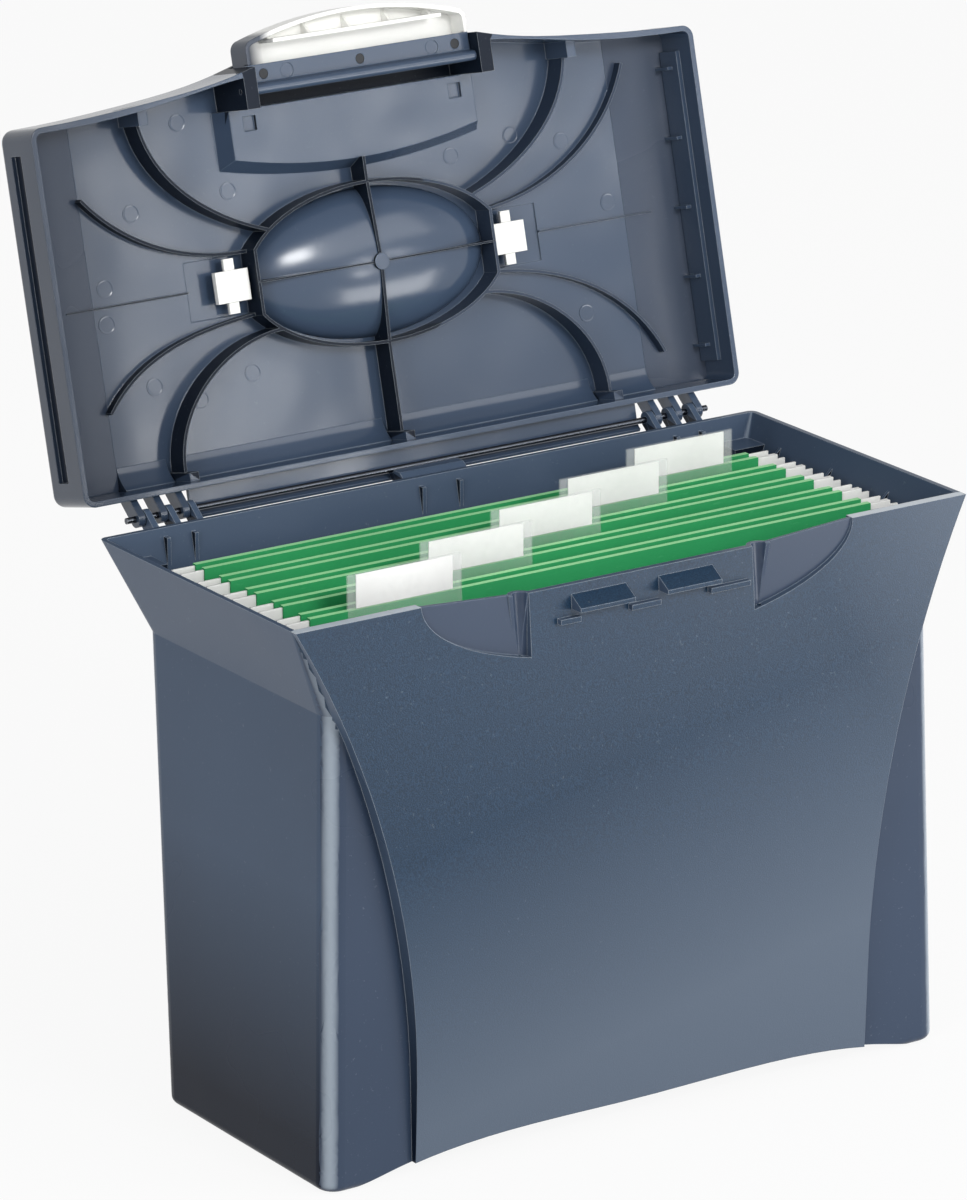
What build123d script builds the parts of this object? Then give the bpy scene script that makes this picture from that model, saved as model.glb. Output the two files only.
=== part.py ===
"""Portable file box for A4 suspension files, drawn open with five files hung inside.

X runs to the right, Y to the back and Z up from the base. While it is drawn, Y = 0 lies midway between
the tub's front and back rims. Lid, latch and handle are drawn shut, as they close the box, and then
swung open on their pivots. Last, everything moves along Y until the middle of the opened box is over
the origin.
"""

import os
from math import cos, radians, sin

from build123d import *

os.makedirs("parts", exist_ok=True)

# ---------------------------------------------------------------- tub, driving sizes in mm
rim_width = 370
rim_depth = 170
rim_height = 270
rim_corner = 4
wall = 2.6
flare_height = 44
neck_side_in = 18
neck_front_in = 2.5
neck_back_in = 10
foot_side_in = 12
foot_front_out = 1
foot_back_in = 29
body_corner = 9.5
foot_fillet = 4
foot_strip = 15
arch_rise = 11
arch_shoulder = 40
arch_shoulder_fall = 2.6
rim_land = 2.6
rim_land_height = 3

# Front panel, which stands proud of the tub and narrows downwards
panel_side_in = 58
panel_straight = 45
panel_belly_out = 6
panel_belly_drop = 105
panel_foot_out = 3.5

# Finger scoops beside the latch, and the round grooves between them and the latch
scoop_half = 119
scoop_drop = 39
scoop_depth = 1.1
groove_radius = 4.5
groove_drop = 43
groove_skin = 1.8
rim_dip = 3.5

# Catches under the latch, with low stops between and beside them
catch_width = 30
catch_centre = 24
catch_drop = 6
catch_slope = 7
catch_lip_height = 2
catch_reach = 8.5
stop_spans = ((-47, -36), (-8, 8), (36, 58))
stop_drop = 18
stop_reach = 4.5
stop_thick = 2.5

# Ledges and rails that carry the files
ledge_drop = 24
ledge_thick = 2.5
ledge_lip = 3
rail_span = 326
rail_thick = 3
rail_drop = 14
rail_end_length = 10
rail_end_height = 12.5
gusset_thick = 1.6
gusset_drop = 4
gusset_reach = 22
gusset_places = (-64, -33.75, 11.25, 53)
back_rib_places = (-151, -136, -10.5, 10.5, 136, 151)
back_rib_reach = 4
back_rib_height = 22
back_rib_thick = 2

# ---------------------------------------------------------------- hinge
hinge_behind = 10
hinge_lift = 2
open_angle = 104
rod_diameter = 3
rod_fit = 0.05
barrel_radius = 4
group_start = 128
group_pitch = 12
lug_width = 3.2
knuckle_width = 3.6
knuckle_gap = 0.5
knuckles_per_group = 3
cradle_width = 36
hood_gap = 1
hood_thick = 1.6
hood_end_angle = 35
hood_side_gap = 1.5

# ---------------------------------------------------------------- lid
lid_gap = 0.5
lid_height = 31
lid_back_out = 1
lid_front_out = 5
lid_front_points = ((120, 3.5), (70, 10.5), (45, 17), (0, 21))
lid_bulge = 10.5
plate_thick = 2.5
lid_corner = 6
lid_edge = 3.5
side_groove_drop = 14
side_groove_width = 9
side_groove_depth = 2.2
side_gusset_pitch = 34
side_gusset_count = 5
side_gusset_reach = 5
tall_rib = 12
low_rib = 5
rib_thick = 1.5
rib_foot_height = 19
rib_foot_width = 5
rib_foot_length = 4
rib_foot_place = 120
line_rib_height = 1.6
line_rib_end = 20
boss_radius = 4

# Bowl under the handle, inside an oval ring whose ends are cut off
handle_forward = 2
bowl_inside_handle = 11
ring_half_length = 73
ring_half_width = 39
bowl_half_width = 36
bowl_depth = 14
anchor_pocket = 0.8
anchor_pocket_length = 32
anchor_pocket_width = 28

# Thumb recess behind the latch, its places given as distances back from the lid's front
thumb_half = 68
thumb_front = 7
thumb_side_back = 30
thumb_back = 38
thumb_depth = 9
thumb_draft = 4.5
thumb_hole = 7
thumb_hole_depth = 1.7

# ---------------------------------------------------------------- latch
strip_gap = 1
sleeve_offset = 2.9
pivot_lift = 5
latch_angle = 90
latch_half = 61.5
pivot_rod = 2.5
sleeve_radius = 2.4
cheek_thick = 7
latch_play = 0.5
strip_thick = 3
strip_lift = 3
strip_length = 9.4
strip_mark_radius = 3.5
strip_mark_half = 40.5
strip_mark_depth = 0.4
cover_side_drop = 10.6
cover_drop = 20
cover_wall = 1.8
cover_depth = 11
cover_corner = 5
cover_skin = 2.8
cover_boss_radius = 3.2
hook_half = 47
hook_reach = 1.7
hook_drop = 20.5
hook_gusset_pitch = 22.5
hook_gusset_count = 5
hook_gusset_reach = 8
hook_gusset_length = 6
screw_half = 53.5
screw_shank = 2.4
screw_head = 4.8
screw_head_height = 1.4
screw_length = 10

# ---------------------------------------------------------------- carry handle
handle_span = 156
handle_width = 20
handle_thick = 4
handle_rise = 12
handle_lift = 4
anchor_length = 18
anchor_width = 15
anchor_thick = 3
anchor_tab = 5.5

# ---------------------------------------------------------------- files
file_count = 5
file_pitch = 22.5
file_width = 311
file_height = 238
file_above_rail = 6
file_spread = 9
card_thick = 0.8
hem_depth = 12
bar_length = 344
bar_thick = 1.2
bar_height = 9
hook_notch = 4.4
tab_width = 61
tab_height = 17
tab_grip = 6
tab_step = 53.6
tab_shift = 1.9
tab_wall = 0.4
label_thick = 0.5
label_inset = 4.7

# ---------------------------------------------------------------- clearances
running = 0.05
play = 0.3

# ---------------------------------------------------------------- worked out
neck_height = rim_height - flare_height
neck_width = rim_width - 2 * neck_side_in
neck_front = rim_depth / 2 - neck_front_in
neck_back = rim_depth / 2 - neck_back_in
foot_width = rim_width - 2 * foot_side_in
foot_front = rim_depth / 2 + foot_front_out
foot_back = rim_depth / 2 - foot_back_in
arch_half = foot_width / 2 - foot_strip
catch_top = rim_height - catch_drop
ledge_top = rim_height - ledge_drop
rail_top = rim_height - rail_drop

hinge_y = rim_depth / 2 + hinge_behind
hinge_z = rim_height + hinge_lift
lid_back = rim_depth / 2 + lid_back_out
lid_front = rim_depth / 2 + lid_front_out
lid_bottom = rim_height + lid_gap
lid_top = lid_bottom + lid_height
lid_floor = lid_top - plate_thick
thumb_front_y = thumb_front - lid_front
thumb_floor = lid_floor - thumb_depth
handle_y = -handle_forward
bowl_bottom = lid_floor - bowl_depth
bowl_half_length = handle_span / 2 - bowl_inside_handle
cheek_front = wall / 2 - lid_front - lid_bulge
pivot_y = sleeve_offset - rim_depth / 2 - catch_reach - strip_gap
pivot_z = rim_height + pivot_lift
file_top = rail_top + file_above_rail
file_bottom = file_top - file_height
hinge_axis = Axis((0, hinge_y, hinge_z), (1, 0, 0))
pivot_axis = Axis((0, pivot_y, pivot_z), (1, 0, 0))
lug_starts = [group_start + group_pitch * n for n in range(knuckles_per_group)]
rod_length = 2 * (lug_starts[-1] + group_pitch)
strip_inner = rim_depth / 2 + catch_reach + strip_gap
strip_outer = strip_inner + strip_thick
cover_inner = strip_inner + cover_depth
strip_top = rim_height + strip_lift
strip_bottom = strip_top - strip_length
screw_z = (strip_top + strip_bottom) / 2
notch_half_width = latch_half + latch_play
dip_half = latch_half + groove_radius
cover_top = strip_top - sleeve_radius
bar_offset = (file_spread - bar_thick) / 2 - running
file_places = [file_pitch * (n - (file_count - 1) / 2) for n in range(file_count)]


def opened(part):
    return part.rotate(hinge_axis, -open_angle)


def latch_opened(part):
    return opened(part.rotate(pivot_axis, -latch_angle))


def block(inset):
    """The tub's plain body from foot to rim, with every wall moved in by inset."""
    with BuildPart() as made:
        with BuildSketch(Plane.XY):
            with Locations((0, (foot_back - foot_front) / 2)):
                RectangleRounded(
                    foot_width - 2 * inset, foot_front + foot_back - 2 * inset, body_corner - inset
                )
        with BuildSketch(Plane.XY.offset(neck_height)):
            with Locations((0, (neck_back - neck_front) / 2)):
                RectangleRounded(
                    neck_width - 2 * inset, neck_front + neck_back - 2 * inset, body_corner - inset
                )
        with BuildSketch(Plane.XY.offset(rim_height)):
            RectangleRounded(
                rim_width - 2 * inset, rim_depth - 2 * inset, rim_corner - inset
            )
        loft(ruled=True)
    return made.part


def panel(inset, top):
    """The proud front panel up to top, with its faces moved in by inset."""
    half = rim_width / 2 - panel_side_in - inset
    with BuildPart() as made:
        with BuildSketch(Plane.XZ):
            with BuildLine():
                foot = Polyline((0, 0), (half, 0), (half, panel_straight))
                side = TangentArc(
                    (half, panel_straight), (rim_width / 2 - inset, rim_height), tangent=(0, 1)
                )
                Polyline(side @ 1, (0, rim_height), foot @ 0)
            make_face()
            mirror(about=Plane.YZ)
        extrude(amount=rim_depth)
        with BuildSketch(Plane.YZ):
            with BuildLine():
                curve = ThreePointArc(
                    (inset - rim_depth / 2 - panel_foot_out, 0),
                    (inset - rim_depth / 2 - panel_belly_out, rim_height - panel_belly_drop),
                    (inset - rim_depth / 2, rim_height),
                )
                Polyline(curve @ 1, (0, rim_height), (0, 0), curve @ 0)
            make_face()
        extrude(amount=rim_width / 2, both=True, mode=Mode.INTERSECT)
        if top < rim_height:
            split(bisect_by=Plane.XY.offset(top), keep=Keep.BOTTOM)
    return made.part


def above_arch(lift):
    """All the space above the arched underside, raised by lift."""
    with BuildPart() as made:
        with BuildSketch(Plane.XZ):
            with BuildLine():
                arch = Spline(
                    (-arch_half, lift),
                    (arch_shoulder - arch_half, arch_rise - arch_shoulder_fall + lift),
                    (0, arch_rise + lift),
                    (arch_half - arch_shoulder, arch_rise - arch_shoulder_fall + lift),
                    (arch_half, lift),
                )
                Polyline(
                    arch @ 1,
                    (rim_width, lift),
                    (rim_width, 2 * rim_height),
                    (-rim_width, 2 * rim_height),
                    (-rim_width, lift),
                    arch @ 0,
                )
            make_face()
        extrude(amount=rim_depth, both=True)
    return made.part


outer_block = block(0)
inner_block = block(wall)

# Everything that is hollow inside the tub
with BuildPart() as cavity:
    add(inner_block)
    add(panel(wall, rim_height - scoop_drop - wall))
    add(above_arch(wall), mode=Mode.INTERSECT)

# Side ledges with an upright rail each, gussets, and ribs on the back wall
with BuildPart() as fittings:
    for side in (-1, 1):
        ledge_width = rim_width / 2 - rail_span / 2 + ledge_lip
        with Locations((side * (rim_width / 2 - ledge_width / 2), 0, ledge_top)):
            Box(ledge_width, rim_depth, ledge_thick, align=(Align.CENTER, Align.CENTER, Align.MAX))
        with Locations(
            (side * (rim_width / 2 - ledge_width / 2), rim_depth / 2, ledge_top + rail_end_height)
        ):
            Box(
                ledge_width,
                2 * (neck_back_in + rail_end_length),
                rail_end_height + ledge_thick,
                align=(Align.CENTER, Align.CENTER, Align.MAX),
            )
        with Locations((side * rim_width / 2, -rim_depth / 2, rim_height)):
            Box(
                rim_width - 2 * scoop_half,
                2 * (wall + rim_land),
                rim_land_height,
                align=(Align.CENTER, Align.CENTER, Align.MAX),
            )
        with Locations((side * rail_span / 2, 0, rail_top)):
            Box(
                rail_thick,
                rim_depth,
                rail_top - ledge_top + ledge_thick,
                align=(Align.CENTER, Align.CENTER, Align.MAX),
            )
        for place in gusset_places:
            with BuildSketch(Plane.XZ.offset(-place)):
                Polygon(
                    (side * rim_width / 2, ledge_top),
                    (side * (rim_width / 2 - gusset_reach), ledge_top),
                    (side * rim_width / 2, rim_height - gusset_drop),
                    align=None,
                )
            extrude(amount=gusset_thick / 2, both=True)
    for place in back_rib_places:
        with Locations((place, rim_depth / 2, rim_height - gusset_drop)):
            Box(
                back_rib_thick,
                2 * (wall + back_rib_reach),
                back_rib_height,
                align=(Align.CENTER, Align.CENTER, Align.MAX),
            )
    # Inner skin of the two grooves beside the latch
    for side in (-1, 1):
        with Locations((side * (latch_half + groove_radius), -rim_depth / 2, rim_height - rim_dip)):
            Cone(
                running,
                groove_radius + groove_skin,
                groove_drop + groove_skin,
                align=(Align.CENTER, Align.CENTER, Align.MAX),
            )
    add(outer_block, mode=Mode.INTERSECT)

# ---------------------------------------------------------------- tub
with BuildPart() as tub:
    add(outer_block)
    fillet(tub.faces().sort_by(Axis.Z)[0].edges(), foot_fillet)
    add(panel(0, rim_height))
    add(above_arch(0), mode=Mode.INTERSECT)
    add(cavity.part, mode=Mode.SUBTRACT)

    # Scoops either side of the latch, and the dip in the rim between them
    with BuildSketch(Plane.XZ.offset(rim_depth / 2 - scoop_depth)):
        with Locations((0, rim_height)):
            Ellipse(scoop_half, scoop_drop)
        Rectangle(2 * (latch_half + play), 4 * rim_height, mode=Mode.SUBTRACT)
    extrude(amount=rim_depth, mode=Mode.SUBTRACT)
    with BuildSketch(Plane.XZ.offset(rim_depth / 2 - 2 * wall)):
        Polygon(
            (-scoop_half, rim_height),
            (-dip_half, rim_height - rim_dip),
            (dip_half, rim_height - rim_dip),
            (scoop_half, rim_height),
            (scoop_half, rim_height + rim_dip),
            (-scoop_half, rim_height + rim_dip),
            align=None,
        )
    extrude(amount=4 * wall, mode=Mode.SUBTRACT)

    # Catches
    for side in (-1, 1):
        with BuildSketch(Plane.YZ.offset(side * catch_centre)):
            with BuildLine():
                lip = -rim_depth / 2 - catch_reach
                root = -rim_depth / 2 + wall
                Polyline(
                    (root, catch_top),
                    (lip, catch_top - catch_slope),
                    (lip, catch_top - catch_slope - catch_lip_height),
                    (root, catch_top - catch_slope - catch_lip_height),
                    close=True,
                )
            make_face()
        extrude(amount=catch_width / 2, both=True)
    for first, last in stop_spans:
        with Locations(((first + last) / 2, -rim_depth / 2 - stop_reach, rim_height - stop_drop)):
            Box(
                last - first,
                stop_reach + wall,
                stop_thick,
                align=(Align.CENTER, Align.MIN, Align.MAX),
            )
    add(fittings.part)
    for side in (-1, 1):
        with Locations((side * (latch_half + groove_radius), -rim_depth / 2, rim_height)):
            Cone(
                running,
                groove_radius,
                groove_drop,
                align=(Align.CENTER, Align.CENTER, Align.MAX),
                mode=Mode.SUBTRACT,
            )

    # Hinge lugs, and the open cradle that steadies the rod at its middle
    lug_places = [side * (start + lug_width / 2) for start in lug_starts for side in (-1, 1)]
    for place, width in [(x, lug_width) for x in lug_places] + [(0, cradle_width)]:
        with BuildSketch(Plane.YZ.offset(place)):
            with Locations((hinge_y, hinge_z)):
                Circle(barrel_radius)
            with Locations((rim_depth / 2 - wall / 2, rim_height - barrel_radius - wall)):
                Rectangle(wall, 2 * barrel_radius)
            make_hull()
        extrude(amount=width / 2, both=True)
    with Locations(Location((0, hinge_y, hinge_z), (0, 90, 0))):
        Hole(rod_diameter / 2 + rod_fit / 2, depth=rod_length)
    with Locations((0, hinge_y, hinge_z)):
        Box(
            cradle_width,
            2 * hinge_behind,
            2 * barrel_radius,
            align=(Align.CENTER, Align.CENTER, Align.MIN),
            mode=Mode.SUBTRACT,
        )

# ---------------------------------------------------------------- hinge rod
with BuildPart() as hinge_rod:
    with Locations(Location((0, hinge_y, hinge_z), (0, 90, 0))):
        Cylinder(rod_diameter / 2, rod_length)


def lid_outline(inset, bulge_points):
    """Plan of the lid, with a front edge that passes through the given points of its bulge."""
    half = rim_width / 2 - inset
    with BuildSketch() as made:
        with BuildLine():
            back = Polyline((0, lid_back - inset), (half, lid_back - inset), (half, inset - lid_front))
            Spline(
                back @ 1,
                *[(x, inset - lid_front - reach) for x, reach in bulge_points],
                tangents=((-1, 0), (-1, 0)),
            )
            Line((0, inset - lid_front - bulge_points[-1][1]), back @ 0)
        make_face()
        mirror(about=Plane.YZ)
        corners = made.vertices().filter_by(lambda v: abs(v.X) > half - wall)
        fillet(corners, lid_corner - inset)
    return made.sketch


def thumb_outline(inset, flare):
    """Plan of the thumb recess behind the latch, with its sides and back moved out by flare."""
    half = thumb_half - inset + flare
    with BuildSketch() as made:
        with BuildLine():
            front = Polyline(
                (-half, thumb_side_back - lid_front - inset + flare),
                (-half, thumb_front_y + inset),
                (half, thumb_front_y + inset),
                (half, thumb_side_back - lid_front - inset + flare),
            )
            ThreePointArc(front @ 1, (0, thumb_back - lid_front - inset + flare), front @ 0)
        make_face()
    return made.sketch


def ring_outline(inset):
    """Plan of the oval ring round the bowl, with its two ends cut off square."""
    with BuildSketch() as made:
        with Locations((0, handle_y)):
            Ellipse(ring_half_length - inset, ring_half_width - inset)
            Rectangle(2 * (bowl_half_length - inset), 2 * ring_half_width, mode=Mode.INTERSECT)
    return made.sketch


def bowl(shrink):
    """The oval bowl as a half-sunk egg under the lid's top, smaller all round by shrink."""
    half_sizes = (bowl_half_length - shrink, bowl_half_width - shrink, lid_top - bowl_bottom - shrink)
    return Pos(0, handle_y, lid_top) * scale(Sphere(1), half_sizes)


# Each rib's height, the sides it is on, and its path over the right half of the lid
rib_paths = [
    (tall_rib, (-1, 1), [(57, -25.5), (91, -42), (111, -62), (rib_foot_place, 2 - lid_front)]),
    (tall_rib, (-1, 1), [(57, 21.5), (97, 36), (115, 57), (rib_foot_place, lid_back - wall)]),
    (low_rib, (-1,), [(66.5, -17), (96, -20), (128, -33), (151, -53)]),
    (low_rib, (-1,), [(66.5, 13), (96, 17), (128, 28), (151, 47)]),
    (low_rib, (1,), [(66.5, -17), (98, -23.5), (133, -43), (157, -76)]),
    (low_rib, (1,), [(66.5, 13), (98, 18), (133, 34), (160, 66)]),
]

bowl_outer = bowl(0)
bowl_hollow = bowl(plate_thick)
lid_walls_plan = lid_outline(wall, lid_front_points[:2] + ((0, lid_bulge),))

# ---------------------------------------------------------------- lid
with BuildPart() as lid:
    with BuildSketch(Plane.XY.offset(lid_bottom)):
        add(lid_outline(0, lid_front_points))
    extrude(amount=lid_height)
    fillet(lid.faces().sort_by(Axis.Z)[-1].edges(), lid_edge)
    with BuildSketch(Plane.XY.offset(lid_bottom)):
        add(lid_walls_plan)
    extrude(amount=lid_height - plate_thick, mode=Mode.SUBTRACT)

    # Side grooves outside, with the wall carried past them inside, and gussets up to the plate
    groove_length = lid_back + lid_front - 4 * lid_corner
    for side in (-1, 1):
        with Locations((side * rim_width / 2, (lid_back - lid_front) / 2, lid_top - side_groove_drop)):
            Box(
                2 * (wall + side_groove_depth),
                groove_length,
                side_groove_width + 2 * wall,
            )
        with Locations((side * (rim_width / 2 + wall), 0, lid_top - side_groove_drop)):
            Box(2 * wall, 2 * rim_depth, lid_height, mode=Mode.SUBTRACT)
        with Locations((side * rim_width / 2, (lid_back - lid_front) / 2, lid_top - side_groove_drop)):
            Box(2 * side_groove_depth, groove_length, side_groove_width, mode=Mode.SUBTRACT)
        with Locations(
            (side * (rim_width / 2 - wall - side_gusset_reach / 2), (lid_back - lid_front) / 2, lid_floor)
        ):
            with GridLocations(0, side_gusset_pitch, 1, side_gusset_count):
                Box(
                    side_gusset_reach,
                    gusset_thick,
                    side_groove_drop,
                    align=(Align.CENTER, Align.CENTER, Align.MAX),
                )

    # Stiffening ribs
    for height, sides, path in rib_paths:
        for side in sides:
            with BuildSketch(Plane.XY.offset(lid_floor)):
                with BuildLine():
                    Spline([(side * x, y) for x, y in path])
                trace(line_width=rib_thick)
            extrude(amount=-height)
    for first, last in (
        (thumb_back - lid_front, handle_y - ring_half_width + rib_thick),
        (handle_y + ring_half_width - rib_thick, lid_back - wall),
    ):
        with Locations((0, (first + last) / 2, lid_floor)):
            Box(
                rib_thick,
                last - first + 2 * play,
                tall_rib,
                align=(Align.CENTER, Align.CENTER, Align.MAX),
            )
    for place in (-rib_foot_place, 0, rib_foot_place):
        with Locations((place, lid_back - wall + play, lid_floor)):
            Box(
                rib_foot_width,
                rib_foot_length + play,
                rib_foot_height,
                align=(Align.CENTER, Align.MAX, Align.MAX),
            )
    for place in (-rib_foot_place, rib_foot_place):
        with Locations((place, wall - lid_front - lid_front_points[0][1] - play, lid_floor)):
            Box(
                rib_foot_width,
                2 * rib_foot_length,
                rib_foot_height,
                align=(Align.CENTER, Align.MIN, Align.MAX),
            )
    with Locations((0, handle_y, lid_floor)):
        Box(
            rim_width - 2 * line_rib_end,
            rib_thick / 2,
            line_rib_height,
            align=(Align.CENTER, Align.CENTER, Align.MAX),
        )

    # Shallow pockets behind the handle's anchors
    for side in (-1, 1):
        with Locations(
            (side * (bowl_half_length + anchor_pocket_length / 2), handle_y, lid_floor + anchor_pocket)
        ):
            Box(
                anchor_pocket_length,
                anchor_pocket_width,
                anchor_pocket + tall_rib,
                align=(Align.CENTER, Align.CENTER, Align.MAX),
                mode=Mode.SUBTRACT,
            )

    # Bowl under the handle: ring wall, crossed ribs, dome, the hollow above it and the boss at its
    # lowest point
    with BuildSketch(Plane.XY.offset(lid_floor)):
        add(ring_outline(0))
    extrude(amount=-tall_rib)
    with BuildSketch(Plane.XY.offset(lid_floor)):
        add(ring_outline(rib_thick))
    extrude(amount=-2 * tall_rib, mode=Mode.SUBTRACT)
    for length, width in (
        (rib_thick, 2 * ring_half_width - rib_thick),
        (2 * bowl_half_length - rib_thick, rib_thick / 2),
    ):
        with Locations((0, handle_y, lid_floor)):
            Box(length, width, tall_rib, align=(Align.CENTER, Align.CENTER, Align.MAX))
    add(bowl_outer)
    with Locations((0, handle_y, lid_top)):
        Box(
            2 * bowl_half_length,
            2 * bowl_half_width,
            2 * bowl_depth,
            align=(Align.CENTER, Align.CENTER, Align.MIN),
            mode=Mode.SUBTRACT,
        )
    add(bowl_hollow, mode=Mode.SUBTRACT)
    with Locations((0, handle_y, bowl_bottom)):
        Cylinder(boss_radius, 2 * line_rib_height)

    # Thumb recess behind the latch, with its two square pockets
    with BuildSketch(Plane.XY.offset(lid_floor)):
        add(thumb_outline(0, thumb_draft))
    with BuildSketch(Plane.XY.offset(thumb_floor)):
        add(thumb_outline(0, 0))
    loft(ruled=True)
    with BuildSketch(Plane.XY.offset(lid_top)):
        add(thumb_outline(plate_thick, thumb_draft))
    with BuildSketch(Plane.XY.offset(lid_top - thumb_depth)):
        add(thumb_outline(plate_thick, 0))
    loft(ruled=True, mode=Mode.SUBTRACT)
    for side in (-1, 1):
        with Locations(
            (side * (thumb_half - 1.5 * thumb_hole), thumb_front_y + thumb_hole, thumb_floor)
        ):
            Box(thumb_hole, thumb_hole, 2 * thumb_hole_depth, mode=Mode.SUBTRACT)

    # Room for the latch, and the cheeks that hold its pivot
    with BuildSketch(Plane.XY.offset(lid_bottom)):
        with Locations((0, thumb_front_y)):
            Rectangle(2 * notch_half_width, rim_depth, align=(Align.CENTER, Align.MAX))
    extrude(amount=lid_height - plate_thick - lid_edge, mode=Mode.SUBTRACT)
    for side in (-1, 1):
        with Locations((side * (notch_half_width + cheek_thick / 2), cheek_front, lid_bottom)):
            Box(
                cheek_thick,
                thumb_front_y - cheek_front,
                lid_height - plate_thick / 2,
                align=(Align.CENTER, Align.MIN, Align.MIN),
            )
    with Locations(Location((0, pivot_y, pivot_z), (0, 90, 0))):
        Hole(pivot_rod / 2 + running / 2, depth=2 * (notch_half_width + cheek_thick))

    # Slots for the handle's legs
    for side in (-1, 1):
        with Locations((side * handle_span / 2, handle_y, lid_top)):
            Box(
                handle_thick + 2 * play,
                anchor_width - 2 * plate_thick + 2 * play,
                4 * plate_thick,
                mode=Mode.SUBTRACT,
            )

    # Hood that covers the rod between the two groups of knuckles
    hood_inner = barrel_radius + hood_gap
    with BuildSketch(Plane.YZ):
        with BuildLine():
            outer = CenterArc(
                (hinge_y, hinge_z), hood_inner + hood_thick, 90, hood_end_angle - 90
            )
            Polyline(
                outer @ 0,
                (lid_back - wall, hinge_z + hood_inner + hood_thick),
                (lid_back - wall, hinge_z + hood_inner),
                (hinge_y, hinge_z + hood_inner),
            )
            inner = CenterArc((hinge_y, hinge_z), hood_inner, 90, hood_end_angle - 90)
            Line(inner @ 1, outer @ 1)
        make_face()
    extrude(amount=group_start - hood_side_gap, both=True)

    # Hinge knuckles
    for start in lug_starts:
        for side in (-1, 1):
            middle = start + lug_width + knuckle_gap + knuckle_width / 2
            with BuildSketch(Plane.YZ.offset(side * middle)):
                with Locations((hinge_y, hinge_z)):
                    Circle(barrel_radius)
                with Locations((lid_back - wall / 2, hinge_z + 2 * barrel_radius)):
                    Rectangle(wall, 2 * barrel_radius)
                make_hull()
            extrude(amount=knuckle_width / 2, both=True)
    with Locations(Location((0, hinge_y, hinge_z), (0, 90, 0))):
        Hole(rod_diameter / 2 + rod_fit, depth=rod_length)

# ---------------------------------------------------------------- latch
inner_face = Plane(origin=(0, -strip_inner, screw_z), x_dir=(1, 0, 0), z_dir=(0, 1, 0))
with BuildPart() as latch_body:
    strip_middle = -(strip_inner + strip_outer) / 2
    with BuildSketch(Plane.YZ):
        with Locations((pivot_y, pivot_z)):
            Circle(sleeve_radius)
        with Locations((strip_middle, strip_top)):
            Rectangle(strip_thick, sleeve_radius)
        make_hull()
        with Locations((strip_middle, strip_top)):
            Rectangle(strip_thick, strip_top - strip_bottom, align=(Align.CENTER, Align.MAX))
    extrude(amount=latch_half, both=True)
    with Locations(Location((0, pivot_y, pivot_z), (0, 90, 0))):
        Hole(pivot_rod / 2 + rod_fit, depth=latch_half)
    with Locations(inner_face):
        with GridLocations(screw_half, 0, 3, 1):
            CounterBoreHole(screw_shank / 2, screw_head / 2 + running, screw_head_height)
        with GridLocations(2 * strip_mark_half, 0, 2, 1):
            Cylinder(strip_mark_radius, 2 * strip_mark_depth, mode=Mode.SUBTRACT)


def cover_outline(inset, top):
    """Front view of the grip cover from its curved lower edge up to the height top."""
    half = latch_half - inset
    with BuildSketch() as made:
        with BuildLine():
            sides = Polyline(
                (-half, strip_bottom - cover_side_drop + inset),
                (-half, top),
                (half, top),
                (half, strip_bottom - cover_side_drop + inset),
            )
            ThreePointArc(sides @ 1, (0, strip_bottom - cover_drop + inset), sides @ 0)
        make_face()
        corners = made.vertices().filter_by(lambda v: v.Y < strip_bottom - cover_side_drop / 2)
        fillet(corners, cover_corner - inset)
    return made.sketch


# Gussets between the hook ledge and the cover's curved rim
with BuildPart() as hook_gussets:
    with BuildSketch(Plane.YZ):
        Polygon(
            (-cover_inner, pivot_z - hook_drop),
            (hook_gusset_reach - cover_inner, pivot_z - hook_drop),
            (-cover_inner, pivot_z - hook_drop - cover_wall - hook_gusset_length),
            align=None,
        )
    extrude(amount=gusset_thick / 2, both=True)
    gusset = hook_gussets.part
    half_row = (hook_gusset_count - 1) * hook_gusset_pitch / 2
    with Locations(*[(n * hook_gusset_pitch - half_row, 0, 0) for n in range(hook_gusset_count)]):
        add(gusset)
    with BuildSketch(Plane.XZ.offset(strip_inner)):
        add(cover_outline(cover_wall / 2, strip_bottom))
    extrude(amount=cover_depth, mode=Mode.INTERSECT)

with BuildPart() as latch_cover:
    with BuildSketch(Plane.XZ.offset(cover_inner)):
        add(cover_outline(0, cover_top))
    extrude(amount=cover_skin)
    # Rim of the grip, which stands back past the strip below it
    with BuildSketch(Plane.XZ.offset(strip_outer + running)):
        add(cover_outline(0, cover_top))
        add(cover_outline(cover_wall, cover_top), mode=Mode.SUBTRACT)
    extrude(amount=cover_inner - strip_outer - running)
    with BuildSketch(Plane.XZ.offset(strip_inner)):
        add(cover_outline(0, strip_bottom - play))
        add(cover_outline(cover_wall, strip_bottom - play), mode=Mode.SUBTRACT)
    extrude(amount=strip_thick + running)
    # Ledge that hooks under the catches
    with Locations((0, -cover_inner, pivot_z - hook_drop)):
        Box(
            2 * hook_half,
            cover_depth + hook_reach,
            cover_wall,
            align=(Align.CENTER, Align.MIN, Align.MAX),
        )
    add(hook_gussets.part)
    with Locations(Plane(origin=(0, -strip_outer, screw_z), x_dir=(1, 0, 0), z_dir=(0, 1, 0))):
        with GridLocations(screw_half, 0, 3, 1):
            Cylinder(
                cover_boss_radius,
                cover_inner - strip_outer,
                align=(Align.CENTER, Align.CENTER, Align.MAX),
            )
            Hole(screw_shank / 2, depth=screw_length - strip_thick)

with BuildPart() as latch_pivot_rod:
    with Locations(Location((0, pivot_y, pivot_z), (0, 90, 0))):
        Cylinder(pivot_rod / 2, 2 * (notch_half_width + cheek_thick))

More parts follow.
